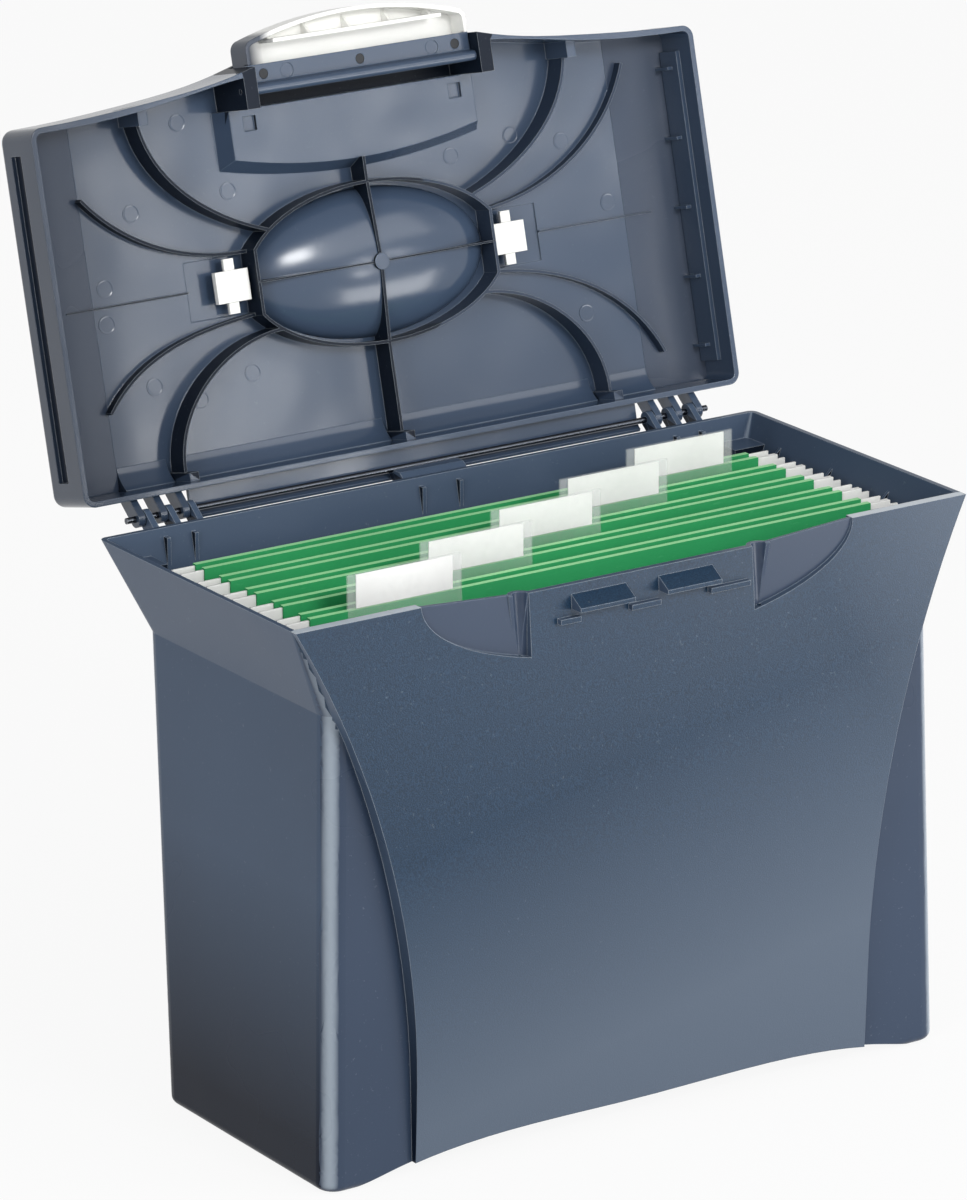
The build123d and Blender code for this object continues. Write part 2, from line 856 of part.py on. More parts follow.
with BuildPart() as latch_screws:
    with Locations(inner_face):
        with GridLocations(screw_half, 0, 3, 1):
            Cylinder(
                screw_head / 2, screw_head_height, align=(Align.CENTER, Align.CENTER, Align.MAX)
            )
            Cylinder(
                screw_shank / 2, screw_length, align=(Align.CENTER, Align.CENTER, Align.MAX)
            )

# ---------------------------------------------------------------- carry handle
with BuildPart() as carry_handle:
    strap_bottom = lid_top + play
    anchor_top = lid_floor - handle_lift - play
    with BuildSketch(Plane.XZ.offset(-handle_y)):
        with BuildLine():
            under = ThreePointArc(
                (-handle_span / 2, strap_bottom),
                (0, strap_bottom + handle_rise),
                (handle_span / 2, strap_bottom),
            )
            right = Line(
                under @ 1, (handle_span / 2 + handle_thick / 2, strap_bottom + handle_thick)
            )
            over = ThreePointArc(
                right @ 1,
                (0, strap_bottom + handle_rise + handle_thick),
                (-handle_span / 2 - handle_thick / 2, strap_bottom + handle_thick),
            )
            Line(over @ 1, under @ 0)
        make_face()
    extrude(amount=handle_width / 2, both=True)
    for side in (-1, 1):
        with Locations((side * handle_span / 2, handle_y, strap_bottom + handle_thick)):
            Box(
                handle_thick,
                anchor_width - 2 * plate_thick,
                strap_bottom + handle_thick - anchor_top,
                align=(Align.CENTER, Align.CENTER, Align.MAX),
            )
        with Locations((side * handle_span / 2, handle_y, anchor_top)):
            Box(
                anchor_length,
                anchor_width,
                anchor_thick,
                align=(Align.CENTER, Align.CENTER, Align.MAX),
            )
            Box(
                anchor_tab,
                anchor_width + 2 * anchor_tab,
                anchor_thick / 2,
                align=(Align.CENTER, Align.CENTER, Align.MAX),
            )

# ---------------------------------------------------------------- files
def file_card(place):
    """A card folded into a pocket, with a hem at each top edge for its hanger bar."""
    outer = file_spread / 2 + card_thick
    with BuildPart() as made:
        with BuildSketch(Plane.YZ):
            with Locations((place, file_bottom + outer)):
                Circle(outer)
            with Locations((place, file_bottom + outer)):
                Rectangle(
                    2 * outer, file_top - file_bottom - outer, align=(Align.CENTER, Align.MIN)
                )
            with Locations((place, file_bottom + outer)):
                Circle(file_spread / 2, mode=Mode.SUBTRACT)
            with Locations((place, file_bottom + outer)):
                Rectangle(
                    file_spread, file_top, align=(Align.CENTER, Align.MIN), mode=Mode.SUBTRACT
                )
            for side in (-1, 1):
                with Locations((place + side * bar_offset, file_top)):
                    Rectangle(
                        bar_thick + 2 * (running + card_thick),
                        hem_depth,
                        align=(Align.CENTER, Align.MAX),
                    )
                with Locations((place + side * bar_offset, file_top - card_thick)):
                    Rectangle(
                        bar_thick + 2 * running,
                        bar_height + 2 * running,
                        align=(Align.CENTER, Align.MAX),
                        mode=Mode.SUBTRACT,
                    )
        extrude(amount=file_width / 2, both=True)
    return made.part


def hanger_bar(place):
    """A flat bar with a stepped hook at each end that drops over the rail."""
    bar_top = file_top - card_thick - running
    with BuildPart() as made:
        with BuildSketch(Plane.XZ.offset(-place)):
            with Locations((0, bar_top)):
                Rectangle(bar_length, bar_height, align=(Align.CENTER, Align.MAX))
            for side in (-1, 1):
                with Locations((side * rail_span / 2, rail_top + play)):
                    Rectangle(
                        hook_notch, bar_height, align=(Align.CENTER, Align.MAX), mode=Mode.SUBTRACT
                    )
                with Locations((side * bar_length / 2, bar_top)):
                    Rectangle(2 * hook_notch, hook_notch, mode=Mode.SUBTRACT)
        extrude(amount=bar_thick / 2, both=True)
    return made.part


def tab_holder(middle, front):
    """A clear tab that laps over the front hem and holds a label above it."""
    label_slot = label_thick + 2 * running
    with BuildPart() as made:
        with BuildSketch(Plane.YZ.offset(middle)):
            with Locations((front, file_top - tab_grip)):
                Rectangle(tab_wall, tab_grip + tab_height, align=(Align.MAX, Align.MIN))
            with Locations((front + label_slot, file_top + running)):
                Rectangle(tab_wall, tab_height - running, align=(Align.MIN, Align.MIN))
            with Locations((front - tab_wall, file_top + running)):
                Rectangle(label_slot + 2 * tab_wall, tab_wall, align=(Align.MIN, Align.MIN))
            with Locations((front - tab_wall, file_top + tab_height)):
                Rectangle(label_slot + 2 * tab_wall, tab_wall, align=(Align.MIN, Align.MAX))
        extrude(amount=tab_width / 2, both=True)
    return made.part


def tab_label(middle, front):
    """The label card inside its clear tab."""
    with BuildPart() as made:
        with Locations((middle, front + running + label_thick / 2, file_top + tab_height / 2)):
            Box(tab_width - 2 * label_inset, label_thick, tab_height - 3 * tab_wall)
    return made.part


# ---------------------------------------------------------------- everything, in its place
pieces = {
    "tub": tub.part,
    "hinge_rod": hinge_rod.part,
    "lid": opened(lid.part),
    "latch_body": latch_opened(latch_body.part),
    "latch_cover": latch_opened(latch_cover.part),
    "latch_screws": latch_opened(latch_screws.part),
    "latch_pivot_rod": opened(latch_pivot_rod.part),
    "carry_handle": opened(carry_handle.part),
}
for number, place in enumerate(file_places, start=1):
    tab_middle = tab_shift + tab_step * (number - (file_count + 1) / 2)
    tab_front = place - file_spread / 2 - card_thick - running
    pieces[f"file_{number}"] = file_card(place)
    pieces[f"hanger_front_{number}"] = hanger_bar(place - bar_offset)
    pieces[f"hanger_rear_{number}"] = hanger_bar(place + bar_offset)
    pieces[f"tab_holder_{number}"] = tab_holder(tab_middle, tab_front)
    pieces[f"tab_label_{number}"] = tab_label(tab_middle, tab_front)

extent = Compound(list(pieces.values())).bounding_box()
to_middle = Pos(0, -(extent.min.Y + extent.max.Y) / 2, 0)
for name, piece in pieces.items():
    placed = to_middle * piece
    placed.label = name
    export_step(placed, f"parts/{name}.step")
print("moved along Y by", to_middle.position.Y)
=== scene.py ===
"""Portable file box, standing open with its files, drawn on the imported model."""

from math import cos, pi, radians, sin

import bpy
from mathutils import Matrix, Vector


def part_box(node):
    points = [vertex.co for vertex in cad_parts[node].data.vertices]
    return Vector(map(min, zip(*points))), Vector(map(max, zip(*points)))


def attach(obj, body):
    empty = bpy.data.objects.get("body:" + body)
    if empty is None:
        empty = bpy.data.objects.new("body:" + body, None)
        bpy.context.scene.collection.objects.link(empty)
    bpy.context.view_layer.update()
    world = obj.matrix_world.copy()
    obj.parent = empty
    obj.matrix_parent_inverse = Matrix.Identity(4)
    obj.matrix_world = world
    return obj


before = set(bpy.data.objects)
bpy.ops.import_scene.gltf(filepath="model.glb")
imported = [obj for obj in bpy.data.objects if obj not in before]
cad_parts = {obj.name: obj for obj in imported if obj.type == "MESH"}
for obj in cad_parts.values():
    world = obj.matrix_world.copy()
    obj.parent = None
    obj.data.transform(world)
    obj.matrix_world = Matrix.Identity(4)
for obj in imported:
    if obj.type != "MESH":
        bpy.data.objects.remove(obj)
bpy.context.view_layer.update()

# ---------------------------------------------------------------- the frame's own marks, in metres
rod_low, rod_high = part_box("hinge_rod")
hinge = Vector((0, (rod_low[1] + rod_high[1]) / 2, (rod_low[2] + rod_high[2]) / 2))
rim_middle = hinge.y - 0.095

# ---------------------------------------------------------------- camera
view_azimuth = -0.5862173
view_elevation = 0.3128090
view_roll = -0.00476785
view_distance = 3.2
focal_pixels = 6835.8
picture_width = 967
picture_height = 1200
aim = Vector((0, rim_middle, 0.150))
aim_right = 0.024937
aim_up = -0.075355


def make_camera():
    """Sets up the camera and returns its place and its turn."""
    back = Vector((
        sin(view_azimuth) * cos(view_elevation),
        -cos(view_azimuth) * cos(view_elevation),
        sin(view_elevation),
    ))
    right = (-back).cross(Vector((0, 0, 1))).normalized()
    up = right.cross(-back)
    turned_right = cos(view_roll) * right + sin(view_roll) * up
    turned_up = -sin(view_roll) * right + cos(view_roll) * up
    data = bpy.data.cameras.new("camera")
    data.lens = focal_pixels * data.sensor_width / picture_height
    data.clip_end = 20
    camera = bpy.data.objects.new("camera", data)
    place = aim - turned_right * aim_right - turned_up * aim_up + back * view_distance
    turn = Matrix((turned_right, turned_up, back)).transposed()
    camera.matrix_world = Matrix.Translation(place) @ turn.to_4x4()
    bpy.context.collection.objects.link(camera)
    scene = bpy.context.scene
    scene.camera = camera
    scene.render.resolution_x = picture_width
    scene.render.resolution_y = picture_height
    return place, turn


camera_place, camera_turn = make_camera()

# ---------------------------------------------------------------- shader groups shared by the materials


def new_group(name, inputs, outputs):
    """An empty shader group with the named inputs and outputs, its nodes to be added by the caller."""
    group = bpy.data.node_groups.new(name, "ShaderNodeTree")
    for label, kind, default in inputs:
        socket = group.interface.new_socket(label, in_out="INPUT", socket_type=kind)
        if default is not None:
            socket.default_value = default
    for label, kind in outputs:
        group.interface.new_socket(label, in_out="OUTPUT", socket_type=kind)
    return group


def noise(tree, coordinates, scale, detail, roughness=0.5):
    node = tree.nodes.new("ShaderNodeTexNoise")
    node.inputs["Scale"].default_value = scale
    node.inputs["Detail"].default_value = detail
    node.inputs["Roughness"].default_value = roughness
    tree.links.new(coordinates, node.inputs["Vector"])
    return node.outputs["Fac"]


def spread(tree, value, low, high, to_low=0.0, to_high=1.0):
    """value moved from between low and high to between to_low and to_high."""
    node = tree.nodes.new("ShaderNodeMapRange")
    for label, number in (("From Min", low), ("From Max", high), ("To Min", to_low), ("To Max", to_high)):
        node.inputs[label].default_value = number
    tree.links.new(value, node.inputs["Value"])
    return node.outputs["Result"]


def maths(tree, operation, first, second):
    node = tree.nodes.new("ShaderNodeMath")
    node.operation = operation
    for socket, value in zip(node.inputs, (first, second)):
        if isinstance(value, (int, float)):
            socket.default_value = value
        else:
            tree.links.new(value, socket)
    return node.outputs["Value"]


def blend_colours(tree, share, first, second, mode="MIX"):
    node = tree.nodes.new("ShaderNodeMix")
    node.data_type = "RGBA"
    node.blend_type = mode
    for socket, value in ((node.inputs[0], share), (node.inputs[6], first), (node.inputs[7], second)):
        if isinstance(value, (int, float, tuple)):
            socket.default_value = value
        else:
            tree.links.new(value, socket)
    return node.outputs[2]


def make_edge_group():
    """Where the surface turns a sharp corner, from 0 on the flat to 1 on the edge."""
    group = new_group(
        "edge_find",
        [("Width", "NodeSocketFloat", 0.0008)],
        [("Edge", "NodeSocketFloat"), ("Normal", "NodeSocketVector")],
    )
    nodes, links = group.nodes, group.links
    given = nodes.new("NodeGroupInput")
    result = nodes.new("NodeGroupOutput")
    bevel = nodes.new("ShaderNodeBevel")
    bevel.samples = 6
    surface = nodes.new("ShaderNodeNewGeometry")
    compare = nodes.new("ShaderNodeVectorMath")
    compare.operation = "DOT_PRODUCT"
    links.new(given.outputs["Width"], bevel.inputs["Radius"])
    links.new(bevel.outputs["Normal"], compare.inputs[0])
    links.new(surface.outputs["Normal"], compare.inputs[1])
    links.new(spread(group, compare.outputs["Value"], 0.98, 0.80), result.inputs["Edge"])
    links.new(bevel.outputs["Normal"], result.inputs["Normal"])
    return group


edge_group = make_edge_group()


def make_grain_group():
    """Moulded grain as a height, with slow cloudiness and settled dust for the colour and gloss."""
    group = new_group(
        "moulded_grain",
        [("Grain size", "NodeSocketFloat", 900.0)],
        [(label, "NodeSocketFloat") for label in ("Height", "Cloud", "Dust", "Swell")],
    )
    nodes, links = group.nodes, group.links
    given = nodes.new("NodeGroupInput")
    result = nodes.new("NodeGroupOutput")
    place = nodes.new("ShaderNodeTexCoord").outputs["Object"]
    fine = nodes.new("ShaderNodeTexNoise")
    fine.inputs["Detail"].default_value = 3
    fine.inputs["Roughness"].default_value = 0.6
    links.new(place, fine.inputs["Vector"])
    links.new(given.outputs["Grain size"], fine.inputs["Scale"])
    links.new(fine.outputs["Fac"], result.inputs["Height"])
    links.new(noise(group, place, 7, 3), result.inputs["Cloud"])
    links.new(noise(group, place, 16, 1), result.inputs["Swell"])
    links.new(spread(group, noise(group, place, 420, 2, 0.8), 0.66, 0.78), result.inputs["Dust"])
    return group


grain_group = make_grain_group()


def use_group(tree, group, **values):
    node = tree.nodes.new("ShaderNodeGroup")
    node.node_tree = group
    for label, value in values.items():
        node.inputs[label.replace("_", " ")].default_value = value
    return node


def moulded(
    name, colour, pale, roughness, grain_size, grain_depth,
    wave=0.0, speckle=0.0, edge_width=0.0008, shine=0.5, edge_strength=0.6,
):
    """Injection-moulded plastic with grain, cloudy gloss, a painted highlight in the pale colour along its
    sharp edges, and a little dust.
    """
    material = bpy.data.materials.new(name)
    material.use_nodes = True
    tree = material.node_tree
    shader = tree.nodes["Principled BSDF"]
    grain = use_group(tree, grain_group, Grain_size=grain_size)
    edge = use_group(tree, edge_group, Width=edge_width)
    shader.inputs["Specular IOR Level"].default_value = shine
    cloud = spread(tree, grain.outputs["Cloud"], 0.3, 0.7)
    deep = tuple(channel * 0.88 for channel in colour[:3]) + (1,)
    base = blend_colours(tree, cloud, deep, colour)
    if speckle:
        spots = spread(tree, grain.outputs["Height"], 0.40, 0.62, 1 - speckle, 1 + speckle)
        base = blend_colours(tree, 1.0, base, spots, mode="MULTIPLY")
    # Painted highlight: sharp edges are blended towards the pale colour.
    edge_painted_highlight = blend_colours(tree, maths(tree, "MULTIPLY", edge.outputs["Edge"], edge_strength), base, pale)
    dusty = blend_colours(tree, maths(tree, "MULTIPLY", grain.outputs["Dust"], 0.10), edge_painted_highlight, pale)
    tree.links.new(dusty, shader.inputs["Base Color"])
    gloss = spread(tree, grain.outputs["Cloud"], 0.25, 0.75, roughness - 0.05, roughness + 0.05)
    tree.links.new(gloss, shader.inputs["Roughness"])
    bump = tree.nodes.new("ShaderNodeBump")
    bump.inputs["Strength"].default_value = 1.0
    bump.inputs["Distance"].default_value = grain_depth
    tree.links.new(grain.outputs["Height"], bump.inputs["Height"])
    tree.links.new(edge.outputs["Normal"], bump.inputs["Normal"])
    normal = bump.outputs["Normal"]
    if wave:
        swell = tree.nodes.new("ShaderNodeBump")
        swell.inputs["Strength"].default_value = 1.0
        swell.inputs["Distance"].default_value = wave
        tree.links.new(grain.outputs["Swell"], swell.inputs["Height"])
        tree.links.new(normal, swell.inputs["Normal"])
        normal = swell.outputs["Normal"]
    tree.links.new(normal, shader.inputs["Normal"])
    return material


slate = (0.050, 0.076, 0.126, 1)
slate_body = (0.062, 0.092, 0.146, 1)
# Painted light and shade on the front panel: the first colour, darkest, for its top left; the second,
# lighter, for low down and its top right corner.
slate_panel = (0.011, 0.033, 0.068, 1)
slate_panel_painted_light = (0.078, 0.103, 0.143, 1)
# Darker copies of the slate, all painted shade: beside the panel; in the scoops and on the lid's side
# slopes; near black on the lid's ribs; nearly black at the tub's foot; less dark on the lid's right-hand
# ribs.
slate_recess_painted_shade = (0.031, 0.049, 0.086, 1)
slate_deep_painted_shade = (0.034, 0.052, 0.090, 1)
slate_painted_shade = (0.008, 0.013, 0.024, 1)
slate_foot_painted_shade = (0.003, 0.007, 0.018, 1)
slate_painted_shade_right = (0.028, 0.043, 0.074, 1)
# Pale slates: the painted highlight along sharp edges, and the colour that settled dust takes.
slate_pale = (0.17, 0.22, 0.29, 1)
# The brighter pale slate is also the painted highlight colour of the front rim's top.
slate_bright = (0.52, 0.58, 0.64, 1)
ivory = (0.92, 0.92, 0.89, 1)
ivory_pale = (0.96, 0.96, 0.95, 1)
card_green = (0.016, 0.33, 0.100, 1)
card_cut_edge = (0.36, 0.80, 0.38, 1)


def plain_paint(name, colour, pale, roughness, metal=0.0, grain_size=700, grain_depth=0.00002):
    """A moulded finish that is also told how metallic it is."""
    material = moulded(name, colour, pale, roughness, grain_size, grain_depth)
    material.node_tree.nodes["Principled BSDF"].inputs["Metallic"].default_value = metal
    return material


def make_card(name, colour, fibre_colour):
    """Pressed card: matt, with fibres that lie mostly along X and flecks of another colour."""
    material = bpy.data.materials.new(name)
    material.use_nodes = True
    tree = material.node_tree
    shader = tree.nodes["Principled BSDF"]
    place = tree.nodes.new("ShaderNodeTexCoord").outputs["Object"]
    along = tree.nodes.new("ShaderNodeMapping")
    along.inputs["Scale"].default_value = (0.25, 1.0, 1.0)
    tree.links.new(place, along.inputs["Vector"])
    fibres = noise(tree, along.outputs["Vector"], 1500, 4, 0.7)
    flecks = spread(tree, noise(tree, along.outputs["Vector"], 520, 2, 0.7), 0.64, 0.74)
    slow = spread(tree, noise(tree, place, 14, 3), 0.3, 0.7)
    deep = tuple(channel * 0.86 for channel in colour[:3]) + (1,)
    base = blend_colours(tree, slow, deep, colour)
    base = blend_colours(tree, maths(tree, "MULTIPLY", flecks, 0.22), base, fibre_colour)
    tree.links.new(base, shader.inputs["Base Color"])
    tree.links.new(spread(tree, fibres, 0.3, 0.7, 0.58, 0.78), shader.inputs["Roughness"])
    bump = tree.nodes.new("ShaderNodeBump")
    bump.inputs["Distance"].default_value = 0.00005
    bump.inputs["Strength"].default_value = 0.8
    tree.links.new(fibres, bump.inputs["Height"])
    tree.links.new(bump.outputs["Normal"], shader.inputs["Normal"])
    return material


def make_clear(name):
    """Clear folded tab plastic, faintly scuffed and milky."""
    material = bpy.data.materials.new(name)
    material.use_nodes = True
    tree = material.node_tree
    shader = tree.nodes["Principled BSDF"]
    place = tree.nodes.new("ShaderNodeTexCoord").outputs["Object"]
    scuffs = noise(tree, place, 240, 4, 0.7)
    tree.links.new(spread(tree, scuffs, 0.35, 0.7, 0.06, 0.20), shader.inputs["Roughness"])
    tree.links.new(spread(tree, scuffs, 0.30, 0.75, 0.09, 0.12), shader.inputs["Alpha"])
    tree.links.new(
        blend_colours(tree, scuffs, (0.90, 0.93, 0.92, 1), (0.97, 0.98, 0.98, 1)),
        shader.inputs["Base Color"],
    )
    return material


def paint_corner_highlight(material, colour):
    """Paints a highlight into a tub finish where an upright wall turns a rounded corner."""
    tree = material.node_tree
    base = tree.nodes["Principled BSDF"].inputs["Base Color"]
    under = base.links[0].from_socket
    normal = tree.nodes.new("ShaderNodeNewGeometry").outputs["Normal"]
    parts = tree.nodes.new("ShaderNodeSeparateXYZ")
    tree.links.new(normal, parts.inputs["Vector"])
    turn = maths(tree, "ABSOLUTE", maths(tree, "MULTIPLY", parts.outputs["X"], parts.outputs["Y"]), 0)
    share = spread(tree, turn, 0.30, 0.50, 0.0, 0.55)
    tree.links.new(blend_colours(tree, share, under, colour), base)


def paint_shading_gradient(material, colour, direction, start, end, strength=1.0):
    """Paints light or shade into a finish: turns it slowly to another colour between two places along a
    direction.
    """
    tree = material.node_tree
    base = tree.nodes["Principled BSDF"].inputs["Base Color"]
    under = base.links[0].from_socket
    along = tree.nodes.new("ShaderNodeVectorMath")
    along.operation = "DOT_PRODUCT"
    along.inputs[1].default_value = direction
    tree.links.new(tree.nodes.new("ShaderNodeTexCoord").outputs["Object"], along.inputs[0])
    share = spread(tree, along.outputs["Value"], start, end, 0.0, strength)
    tree.links.new(blend_colours(tree, share, under, colour), base)


def repaint(node, *materials):
    """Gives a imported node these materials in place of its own."""
    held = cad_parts[node].data.materials
    held.clear()
    for material in materials:
        held.append(material)


def repaint_faces(node, place_in_list, test):
    """Moves the faces of a node that pass the test, by middle and normal, to another of its materials."""
    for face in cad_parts[node].data.polygons:
        if test(face.center, face.normal):
            face.material_index = place_in_list


tub_side_plastic = moulded(
    "slate_tub_side", slate_body, slate_bright, 0.30, 900, 0.00002, 0.0004, shine=0.12, edge_width=0.0006
)
panel_plastic = moulded(
    "slate_panel_grain", slate_panel, slate_bright, 0.42, 1500, 0.00010,
    speckle=0.26, shine=0.3, edge_width=0.0006,
)
# Painted shade: a darker copy of the tub's slate for the front wall beside the panel.
recess_painted_shade_plastic = moulded(
    "slate_recess_painted_shade", slate_recess_painted_shade, slate_bright, 0.30, 900, 0.00002, 0.0004, shine=0.3, edge_width=0.0006
)
# Painted highlight: pale slate for the front rim's top.
rim_painted_highlight_plastic = moulded("slate_rim_top_painted_highlight", slate_bright, (0.75, 0.78, 0.80, 1), 0.25, 900, 0.00001)
# Painted shade: a darker copy of the slate in the scoops.
scoop_painted_shade_plastic = moulded("slate_scoop_painted_shade", slate_deep_painted_shade, slate_pale, 0.30, 900, 0.00002, shine=0.3)
lid_plastic = moulded("slate_lid", slate, slate_pale, 0.18, 900, 0.00001, wave=0.0016)
# Painted shade: near-black slate for the lid's ribs, the latch's notch and cheeks, the side grooves, the
# dome's webs and the tub's inner ribs; a less dark copy for the lid's right-hand ribs.
rib_painted_shade_plastic = moulded(
    "slate_rib_sides", slate_painted_shade, slate_bright, 0.35, 900, 0.00001, edge_width=0.0004, shine=0.12
)
rib_right_painted_shade_plastic = moulded(
    "slate_rib_sides_right", slate_painted_shade_right, slate_bright, 0.35, 900, 0.00001, edge_width=0.0004, shine=0.2
)
# Painted shade: a darker copy of the slate on the lid's side slopes.
slope_painted_shade_plastic = moulded("slate_lid_slopes_painted_shade", slate_deep_painted_shade, slate_pale, 0.28, 900, 0.00001, 0.0016, shine=0.3)
pin_plastic = moulded("slate_pin_marks", slate, slate_pale, 0.18, 900, 0.00001, 0.0016, edge_width=0.0001)
strip_plastic = moulded("slate_latch", slate, slate_pale, 0.22, 900, 0.00001)
grip_plastic = plain_paint("ivory_grip", ivory, ivory_pale, 0.34)
strap_plastic = plain_paint("ivory_strap", ivory, ivory_pale, 0.38)
rod_steel = plain_paint("rod_steel", (0.10, 0.11, 0.13, 1), (0.5, 0.5, 0.5, 1), 0.24, metal=1.0)
screw_steel = plain_paint("screw_blacked", (0.006, 0.008, 0.012, 1), (0.03, 0.035, 0.045, 1), 0.55)
hanger_finish = plain_paint("hanger_ivory", ivory, ivory_pale, 0.36)
file_card = make_card("green_card", card_green, (0.10, 0.45, 0.20, 1))
file_edge = make_card("green_card_cut_edge", card_cut_edge, (0.60, 0.90, 0.60, 1))
label_card = make_card("label_card", (0.93, 0.93, 0.91, 1), (0.80, 0.80, 0.78, 1))
tab_clear = make_clear("tab_clear")

# Painted highlight on the tub's rounded upright corners.
corner_painted_highlight = (0.46, 0.53, 0.60, 1)
# Painted shade on the grip's left end.
grip_end_painted_shade = (0.035, 0.048, 0.075, 1)
down_panel = (0.2, 0, -0.95)
to_panel_corner = (0.9, 0, 0.45)
down = (0, 0, -1)
leftward = (-1, 0, 0)
rightward = (1, 0, 0)

# Painted highlight on the tub's rounded corners.
for finish in (tub_side_plastic, recess_painted_shade_plastic):
    paint_corner_highlight(finish, corner_painted_highlight)
# Painted light and shade: the panel lightens low down and towards its top right corner.
paint_shading_gradient(panel_plastic, slate_panel_painted_light, down_panel, start=-0.17, end=-0.045)
paint_shading_gradient(panel_plastic, slate_panel_painted_light, to_panel_corner, start=0.20, end=0.32, strength=0.8)
# Painted shade: the tub's sides darken towards the floor.
paint_shading_gradient(tub_side_plastic, slate_foot_painted_shade, down, start=-0.14, end=-0.02)
# Painted shade: the lid's floor, slopes and pin marks darken towards its left side.
for finish in (lid_plastic, slope_painted_shade_plastic, pin_plastic):
    paint_shading_gradient(finish, slate_painted_shade, leftward, start=0.07, end=0.18, strength=0.55)
# Painted shade: the grip darkens at its left end.
paint_shading_gradient(grip_plastic, grip_end_painted_shade, rightward, start=-0.046, end=-0.053)

# The front panel's outline and the two scoops in it, in metres
panel_foot_half = 0.127
panel_straight = 0.045
panel_side_radius = 0.4654
rim_height = 0.270
scoop_half = 0.119
scoop_drop = 0.039
latch_half = 0.062
outline_slack = 0.0005
scoop_end_slack = 0.001

# How far in front of the rim's middle each of these surfaces lies at least
recess_ahead = 0.06
panel_ahead = 0.07
front_rim_ahead = 0.079
scoop_floor_ahead = 0.0856

# How much of a face's normal lies along an axis, at most or at least, on the surfaces below
forward = -0.3
upright = 0.4
squarely = 0.9
level = 0.95
flat = 0.995


def on_panel(middle, normal):
    """The proud front panel, whose sides curve out to the rim."""
    rise = max(middle.z - panel_straight, 0)
    half = panel_foot_half + panel_side_radius - (panel_side_radius**2 - rise**2) ** 0.5
    inside = abs(middle.x) < half + outline_slack
    return normal.y < forward and inside and middle.y < rim_middle - panel_ahead


def on_recess(middle, normal):
    """The tub's front wall on both sides of the panel."""
    in_front = middle.y < rim_middle - recess_ahead
    return normal.y < forward and in_front and not on_panel(middle, normal)


def in_scoop(middle, normal):
    """The two quarter ellipses sunk in the panel's top, beside the latch."""
    across = middle.x / scoop_half
    down = (rim_height - middle.z) / scoop_drop
    return (
        on_panel(middle, normal)
        and abs(middle.x) > latch_half
        and across**2 + down**2 < 1.0
        and middle.y > rim_middle - scoop_floor_ahead
    )


lid_lean = radians(14)  # back from upright
lid_up = Vector((0, sin(lid_lean), cos(lid_lean)))
lid_out = Vector((0, -cos(lid_lean), sin(lid_lean)))
floor_from_hinge = -0.027
ribs_half = 0.160
ribs_low = 0.014
ribs_high = 0.178
ribs_part_at = 0.03
rib_heights = (0.0016, 0.005, 0.012, 0.019)
rib_height_slack = 0.0002
floor_slack = 0.0003
notch_half = 0.0695
notch_low = 0.1745
notch_sunk = -0.0024
notch_lip = 0.0005
plateau_out = 0.009
groove_inner = 0.1820
groove_outer = 0.1836


def on_ribs(middle, normal):
    """The upright sides of whatever stands on the lid's floor, away from the lid's own walls."""
    from_hinge = middle - hinge
    above = from_hinge.dot(lid_out) - floor_from_hinge
    facing = normal.dot(lid_out)
    side = abs(facing) < upright and above > floor_slack
    top = facing > flat and min(abs(above - height) for height in rib_heights) < rib_height_slack
    return (side or top) and abs(middle.x) < ribs_half and ribs_low < from_hinge.dot(lid_up) < ribs_high


def on_latch_room(middle, normal):
    """The inside of the notch that the latch swings in, and the cheeks beside it."""
    from_hinge = middle - hinge
    above = from_hinge.dot(lid_out) - floor_from_hinge
    standing = above > notch_lip and abs(above - plateau_out) > rib_height_slack
    sunk = abs(middle.x) < latch_half and notch_sunk < above < notch_lip
    return abs(middle.x) < notch_half and from_hinge.dot(lid_up) > notch_low and (standing or sunk)


def on_side_groove(middle, normal):
    """The floor of the groove along each side of the lid."""
    outward = normal.x * middle.x > 0 and abs(normal.x) > squarely
    return groove_inner < abs(middle.x) < groove_outer and outward


def on_left_ribs(middle, normal):
    return (
        on_ribs(middle, normal) and middle.x < ribs_part_at
        or on_latch_room(middle, normal)
        or on_side_groove(middle, normal)
    )


def on_right_ribs(middle, normal):
    return on_ribs(middle, normal) and middle.x >= ribs_part_at


gusset_inner = 0.150
gusset_outer = 0.1815
gusset_low = 0.2465
gusset_high = 0.2668
gusset_reach = 0.07
back_ribs_half = 0.153
back_ribs_behind = 0.070
back_ribs_low = 0.243
back_ribs_high = 0.2665
rim_top_from = 0.2695


def on_inner_ribs(middle, normal):
    """The gussets over the side ledges and the short ribs on the back wall."""
    beside = (
        abs(normal.y) > squarely
        and gusset_inner < abs(middle.x) < gusset_outer
        and gusset_low < middle.z < gusset_high
        and abs(middle.y - rim_middle) < gusset_reach
    )
    behind = (
        abs(normal.x) > squarely
        and middle.y > rim_middle + back_ribs_behind
        and back_ribs_low < middle.z < back_ribs_high
        and abs(middle.x) < back_ribs_half
    )
    return beside or behind


def on_front_rim(middle, normal):
    """The top of the rim in front, on both sides of the scoops."""
    return (
        normal.z > level
        and middle.z > rim_top_from
        and middle.y < rim_middle - front_rim_ahead
        and abs(middle.x) > scoop_half - scoop_end_slack
    )


# Painted shade on the front wall beside the panel, in the scoops and on the inner ribs; painted highlight on
# the front rim's top.
repaint("tub", tub_side_plastic, panel_plastic, scoop_painted_shade_plastic, rib_painted_shade_plastic, rim_painted_highlight_plastic, recess_painted_shade_plastic)
repaint_faces("tub", 5, on_recess)
repaint_faces("tub", 1, on_panel)
repaint_faces("tub", 2, in_scoop)
repaint_faces("tub", 3, on_inner_ribs)
repaint_faces("tub", 4, on_front_rim)
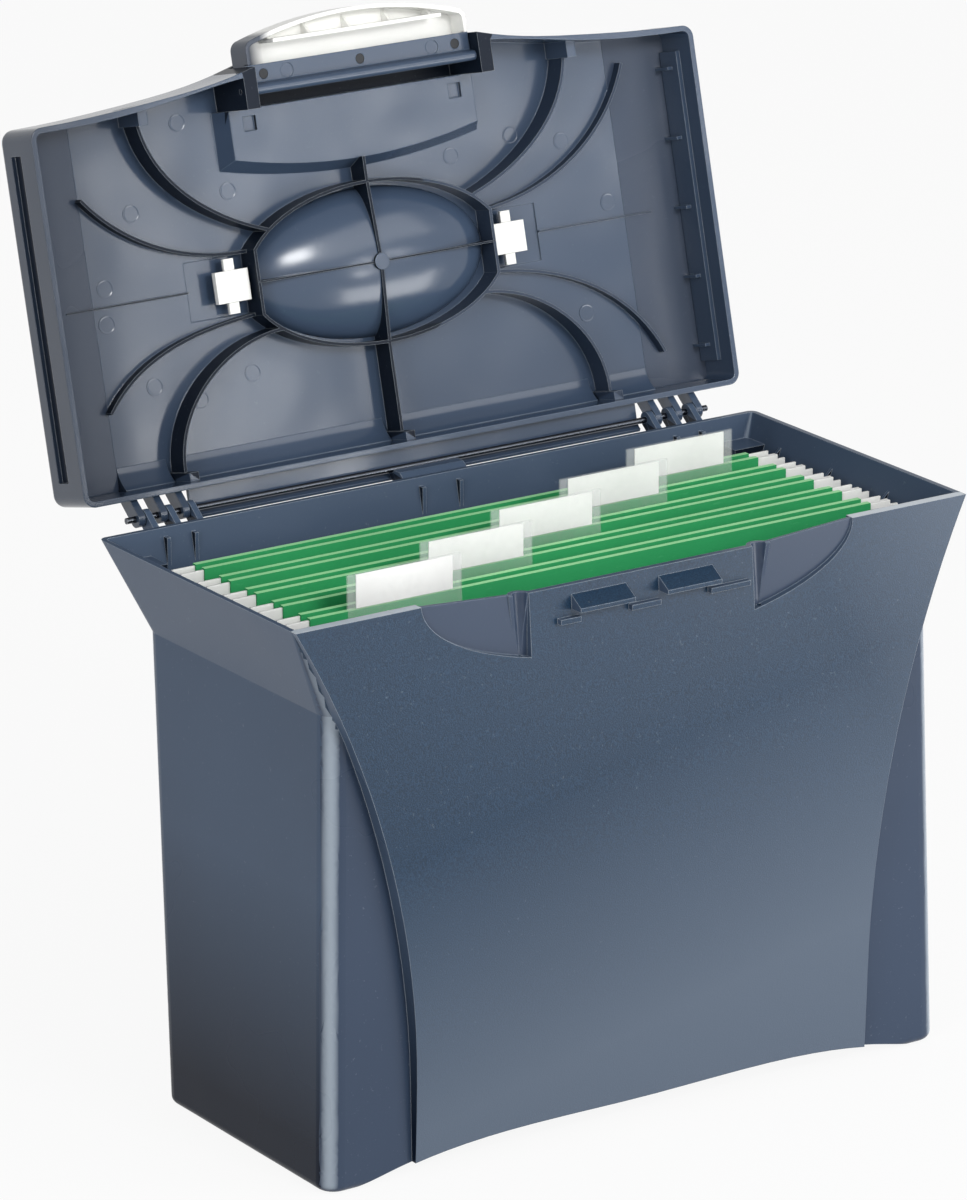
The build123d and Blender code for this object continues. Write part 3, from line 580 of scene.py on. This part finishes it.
# Painted shade on the lid's ribs, the latch's notch and cheeks and the side grooves, less dark on the ribs
# to the right.
repaint("lid", lid_plastic, rib_painted_shade_plastic, rib_right_painted_shade_plastic)
repaint_faces("lid", 1, on_left_ribs)
repaint_faces("lid", 2, on_right_ribs)
repaint("latch_body", strip_plastic)
repaint("latch_cover", grip_plastic)
repaint("latch_screws", screw_steel)
repaint("latch_pivot_rod", rod_steel)
repaint("hinge_rod", rod_steel)
repaint("carry_handle", strap_plastic)
for number in range(1, 6):
    repaint(f"file_{number}", file_card, file_edge)
    repaint_faces(f"file_{number}", 1, lambda middle, normal: normal.z > squarely)
    repaint(f"hanger_front_{number}", hanger_finish)
    repaint(f"hanger_rear_{number}", hanger_finish)
    repaint(f"tab_holder_{number}", tab_clear)
    repaint(f"tab_label_{number}", label_card)

# ---------------------------------------------------------------- pieces added to the lid
lid_turn = (pi / 2 - lid_lean, 0, 0)


def on_lid(across, up, out):
    """A place on the opened lid: across, up from the hinge and out from its floor, in metres."""
    return hinge + Vector((across, 0, 0)) + lid_up * up + lid_out * (out + floor_from_hinge)


def start_piece(name):
    """Renames the primitive just added, which is the only thing selected."""
    piece = bpy.context.active_object
    piece.name = name
    piece.data.name = name
    return piece


def clear_selection(piece):
    for part in (*piece.data.vertices, *piece.data.edges, *piece.data.polygons):
        part.select = False


def select_faces(piece, test):
    """In edit mode, selects only the faces that pass the test by middle and normal."""
    bpy.ops.object.mode_set(mode="OBJECT")
    clear_selection(piece)
    for face in piece.data.polygons:
        face.select = test(face.center, face.normal)
    bpy.ops.object.mode_set(mode="EDIT")


def select_points(piece, test):
    """In edit mode, selects only the points that pass the test."""
    bpy.ops.object.mode_set(mode="OBJECT")
    clear_selection(piece)
    for point in piece.data.vertices:
        point.select = test(point.co)
    bpy.ops.object.mode_set(mode="EDIT")


def settle(piece):
    """Puts the piece's place and turn into its mesh."""
    bpy.ops.object.select_all(action="DESELECT")
    piece.select_set(True)
    bpy.context.view_layer.objects.active = piece
    bpy.ops.object.transform_apply(location=True, rotation=True, scale=True)


def finish_piece(piece, material, body, smooth_angle=35):
    settle(piece)
    bpy.ops.object.shade_smooth_by_angle(angle=radians(smooth_angle))
    piece.data.materials.clear()
    piece.data.materials.append(material)
    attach(piece, body)


# Round witness marks of the ejector pins on the lid's floor: where each shows, in pixels across and down the
# camera's frame
pins_show_at = [
    (177, 123), (172, 191), (228, 191), (131, 214), (451, 156), (105, 289), (107, 325), (253, 373),
    (201, 400), (155, 387), (268, 453), (510, 135), (561, 141), (608, 202), (587, 313),
]
pin_radius = 0.0045
pin_height = 0.0002
pin_lip = 0.0005


def shown_on_floor(pixel_across, pixel_down):
    """How far across, and up from the hinge, is the place on the lid's floor that shows at a pixel."""
    ray = camera_turn @ Vector((
        (pixel_across - picture_width / 2) / focal_pixels,
        (picture_height / 2 - pixel_down) / focal_pixels,
        -1,
    ))
    start = camera_place - hinge
    hit = start + ray * (floor_from_hinge - start.dot(lid_out)) / ray.dot(lid_out)
    return hit.x, hit.dot(lid_up)


def make_pin_marks():
    """The pin marks: one is modelled, and the rest are copies of it, each with its own mesh."""
    marks = []
    for pixel in pins_show_at:
        across, up = shown_on_floor(*pixel)
        bpy.ops.object.select_all(action="DESELECT")
        if marks:
            first = marks[0]
            mark = first.copy()
            mark.data = first.data.copy()
            bpy.context.collection.objects.link(mark)
            mark.location = on_lid(across, up, 0)
        else:
            bpy.ops.mesh.primitive_cylinder_add(
                vertices=40,
                radius=pin_radius,
                depth=2 * pin_height,
                location=on_lid(across, up, 0),
                rotation=lid_turn,
            )
            mark = start_piece("pin_mark")
            bpy.ops.object.mode_set(mode="EDIT")
            select_faces(mark, lambda middle, normal: normal.z > 0.9)
            bpy.ops.mesh.inset(thickness=pin_lip, depth=0)
            bpy.ops.mesh.inset(thickness=pin_lip, depth=-pin_height / 2)
            bpy.ops.object.mode_set(mode="OBJECT")
        marks.append(mark)
    bpy.ops.object.select_all(action="DESELECT")
    for mark in marks:
        mark.select_set(True)
    bpy.context.view_layer.objects.active = marks[0]
    bpy.ops.object.join()
    joined = bpy.context.active_object
    joined.name = "lid_pin_marks"
    finish_piece(joined, pin_plastic, lid_body, smooth_angle=5)


slope_inner = 0.150
slope_outer = 0.1826
slope_low = 0.0116
slope_high = 0.1835
slope_rise = 0.0045
fillet_high = 0.0225
fillet_rise = 0.0065
fillet_spans = ((-0.1500, -0.1235), (-0.1160, -0.0030), (0.0030, 0.1160), (0.1235, 0.1500))
sweep_steps = 8
sweep_skin = 0.0002
sweep_reach = 0.0003


def make_sweep(name, low_corner, high_corner, axis, side, rise, material):
    """A concave rise of the lid's floor, along its X (axis 0) or its height (axis 1), to one side."""
    middle = [(low + high) / 2 for low, high in zip(low_corner, high_corner)]
    size = [high - low for low, high in zip(low_corner, high_corner)]
    bpy.ops.object.select_all(action="DESELECT")
    bpy.ops.mesh.primitive_cube_add(
        size=1, location=on_lid(*middle, 0), rotation=lid_turn, scale=(*size, sweep_skin)
    )
    sweep = start_piece(name)
    bpy.ops.object.transform_apply(location=False, rotation=False, scale=True)
    bpy.ops.object.mode_set(mode="EDIT")
    plane_normal = (Vector((1, 0, 0)), lid_up)[axis]
    steps = range(1, sweep_steps + 1)
    lines = [side * (size[axis] * step / sweep_steps - size[axis] / 2) for step in steps]
    for line in lines[:-1]:
        bpy.ops.mesh.select_all(action="SELECT")
        bpy.ops.mesh.bisect(plane_co=on_lid(*middle, 0) + plane_normal * line, plane_no=plane_normal)
    for step, line in enumerate(lines, start=1):
        select_points(sweep, lambda point: abs(point[axis] - line) < sweep_reach and point.z > 0)
        bpy.ops.transform.translate(value=lid_out * (rise * (step / sweep_steps) ** 2))
    bpy.ops.object.mode_set(mode="OBJECT")
    finish_piece(sweep, material, lid_body, smooth_angle=50)


def make_floor_sweeps():
    """Where the lid's floor sweeps up to its side walls and to its back wall."""
    make_sweep(
        "lid_slope_left", (-slope_outer, slope_low), (-slope_inner, slope_high),
        axis=0, side=-1, rise=slope_rise, material=slope_painted_shade_plastic,
    )
    make_sweep(
        "lid_slope_right", (slope_inner, slope_low), (slope_outer, slope_high),
        axis=0, side=1, rise=slope_rise, material=slope_painted_shade_plastic,
    )
    for number, (left, right) in enumerate(fillet_spans, start=1):
        make_sweep(
            f"lid_back_sweep_{number}", (left, slope_low), (right, fillet_high),
            axis=1, side=-1, rise=fillet_rise, material=lid_plastic,
        )


web_half_across = 0.0665
web_half_up = 0.0380
web_up_half_thick = 0.0008
web_across_half_thick = 0.00045
web_rise = 0.0152
web_ends = 0.0122
dome_middle_up = 0.097
dome_half_across = 0.067
dome_half_up = 0.036
dome_deep = 0.0165
dome_base = -0.0025
dome_skin = 0.0012


def make_dome_web(name, half_across, half_up):
    """A thin web across the dome, highest at its middle and cut to the dome underneath."""
    bpy.ops.object.select_all(action="DESELECT")
    bpy.ops.mesh.primitive_cube_add(
        size=1,
        location=on_lid(0, dome_middle_up, web_rise / 2),
        rotation=lid_turn,
        scale=(2 * half_across, 2 * half_up, web_rise),
    )
    web = start_piece(name)
    bpy.ops.object.transform_apply(location=True, rotation=True, scale=True)
    along = Vector((1, 0, 0)) if half_across > half_up else lid_up
    reach = max(half_across, half_up)
    slope = (along * (web_rise - web_ends) / reach).length
    for side in (-1, 1):
        bpy.ops.object.mode_set(mode="EDIT")
        bpy.ops.mesh.select_all(action="SELECT")
        bpy.ops.mesh.bisect(
            plane_co=on_lid(0, dome_middle_up, web_rise),
            plane_no=lid_out + along * side * slope,
            clear_outer=True,
            use_fill=True,
        )
        bpy.ops.object.mode_set(mode="OBJECT")
    bpy.ops.object.select_all(action="DESELECT")
    bpy.ops.mesh.primitive_uv_sphere_add(
        segments=64,
        ring_count=32,
        radius=1,
        location=on_lid(0, dome_middle_up, dome_base),
        rotation=lid_turn,
        scale=(dome_half_across - dome_skin, dome_half_up - dome_skin, dome_deep - dome_skin),
    )
    core = start_piece("dome_core")
    bpy.ops.object.transform_apply(location=True, rotation=True, scale=True)
    bpy.ops.object.select_all(action="DESELECT")
    web.select_set(True)
    bpy.context.view_layer.objects.active = web
    cut = web.modifiers.new("to_dome", "BOOLEAN")
    cut.operation = "DIFFERENCE"
    cut.object = core
    bpy.ops.object.modifier_apply(modifier="to_dome")
    bpy.data.objects.remove(core)
    # Painted shade: the webs take the near-black rib slate.
    finish_piece(web, rib_painted_shade_plastic, lid_body)


lid_body = "lid"
make_floor_sweeps()
make_pin_marks()
make_dome_web("dome_web_up", web_up_half_thick, web_half_up)
make_dome_web("dome_web_across", web_half_across, web_across_half_thick)

# ---------------------------------------------------------------- stage
floor_half = 9.0
floor_glow = 0.91


def make_floor():
    bpy.ops.object.select_all(action="DESELECT")
    bpy.ops.mesh.primitive_plane_add(size=2 * floor_half, location=(0, 0, -0.0006))
    floor = bpy.context.active_object
    floor.name = "studio_floor"
    material = bpy.data.materials.new("white_paper_floor")
    material.use_nodes = True
    tree = material.node_tree
    shader = tree.nodes["Principled BSDF"]
    shader.inputs["Base Color"].default_value = (0.75, 0.75, 0.75, 1)
    shader.inputs["Roughness"].default_value = 1.0
    shader.inputs["Specular IOR Level"].default_value = 0.0
    glow = tree.nodes.new("ShaderNodeEmission")
    glow.inputs["Color"].default_value = (1, 1, 1, 1)
    rays = tree.nodes.new("ShaderNodeLightPath")
    seen = maths(tree, "MAXIMUM", rays.outputs["Is Camera Ray"], rays.outputs["Is Glossy Ray"])
    seen = maths(tree, "MAXIMUM", seen, rays.outputs["Is Transmission Ray"])
    mix = tree.nodes.new("ShaderNodeMixShader")
    tree.links.new(maths(tree, "MULTIPLY", seen, floor_glow), mix.inputs["Fac"])
    tree.links.new(shader.outputs["BSDF"], mix.inputs[1])
    tree.links.new(glow.outputs["Emission"], mix.inputs[2])
    tree.links.new(mix.outputs["Shader"], tree.nodes["Material Output"].inputs["Surface"])
    floor.data.materials.append(material)


make_floor()


def make_studio_world():
    """White round the horizon, greyer overhead and a little dimmer on the left."""
    world = bpy.data.worlds.new("studio")
    bpy.context.scene.world = world
    world.use_nodes = True
    tree = world.node_tree
    background = tree.nodes["Background"]
    direction = tree.nodes.new("ShaderNodeTexCoord").outputs["Generated"]
    parts = tree.nodes.new("ShaderNodeSeparateXYZ")
    tree.links.new(direction, parts.inputs["Vector"])
    by_height = spread(tree, parts.outputs["Z"], 0.35, 0.65, 1.0, 0.36)
    high = spread(tree, parts.outputs["Z"], 0.02, 0.30)
    left = spread(tree, parts.outputs["X"], -0.2, -0.8)
    dim = maths(tree, "MULTIPLY", maths(tree, "MULTIPLY", high, left), 0.25)
    level = maths(tree, "MULTIPLY", by_height, maths(tree, "SUBTRACT", 1.0, dim))
    tree.links.new(level, background.inputs["Strength"])
    background.inputs["Color"].default_value = (1, 1, 1, 1)


make_studio_world()


def add_lamp(name, place, away, width, height, power):
    """A rectangular area lamp whose light leaves it against away."""
    lamp = bpy.data.lights.new(name, "AREA")
    lamp.shape = "RECTANGLE"
    lamp.size = width
    lamp.size_y = height
    lamp.energy = power
    holder = bpy.data.objects.new(name, lamp)
    holder.location = place
    holder.rotation_euler = away.to_track_quat("Z", "Y").to_euler()
    bpy.context.collection.objects.link(holder)


def add_softbox(name, azimuth, elevation, distance, width, height, power, aim_height=0.25):
    """A lamp that looks at the middle of the box."""
    target = Vector((0, 0, aim_height))
    away = Vector((
        sin(azimuth) * cos(elevation), -cos(azimuth) * cos(elevation), sin(elevation),
    ))
    add_lamp(name, target + away * distance, away, width, height, power)


def add_glint(name, across, up, out, width, height, brightness):
    """A small dim lamp that the camera sees mirrored at one place on the lid."""
    spot = on_lid(across, up, out)
    view = (camera_place - spot).normalized()
    mirrored = 2 * view.dot(lid_out) * lid_out - view
    power = brightness * pi * width * height
    add_lamp(name, spot + mirrored * glint_distance, mirrored, width, height, power)


glint_distance = 1.5

add_softbox("softbox_right", radians(34), radians(31), 3.0, width=1.8, height=1.0, power=12)
add_softbox("softbox_camera", radians(6), radians(31), 2.6, width=0.62, height=0.46, power=26)
add_softbox("softbox_left", radians(-62), radians(16), 2.2, width=0.4, height=1.0, power=11, aim_height=0.35)
add_softbox("softbox_low", radians(36), 0, 1.05, width=0.6, height=0.25, power=3, aim_height=0.16)
add_glint("glint_low_left", -0.094, 0.032, 0, width=0.10, height=0.08, brightness=16)
add_glint("glint_high_left", -0.088, 0.142, 0, width=0.12, height=0.08, brightness=10)
add_glint("glint_high_right", 0.132, 0.150, 0, width=0.11, height=0.08, brightness=7)
add_glint("glint_thumb_recess", 0.050, 0.168, plateau_out, width=0.10, height=0.06, brightness=10)
bpy.context.scene.view_settings.view_transform = "Standard"
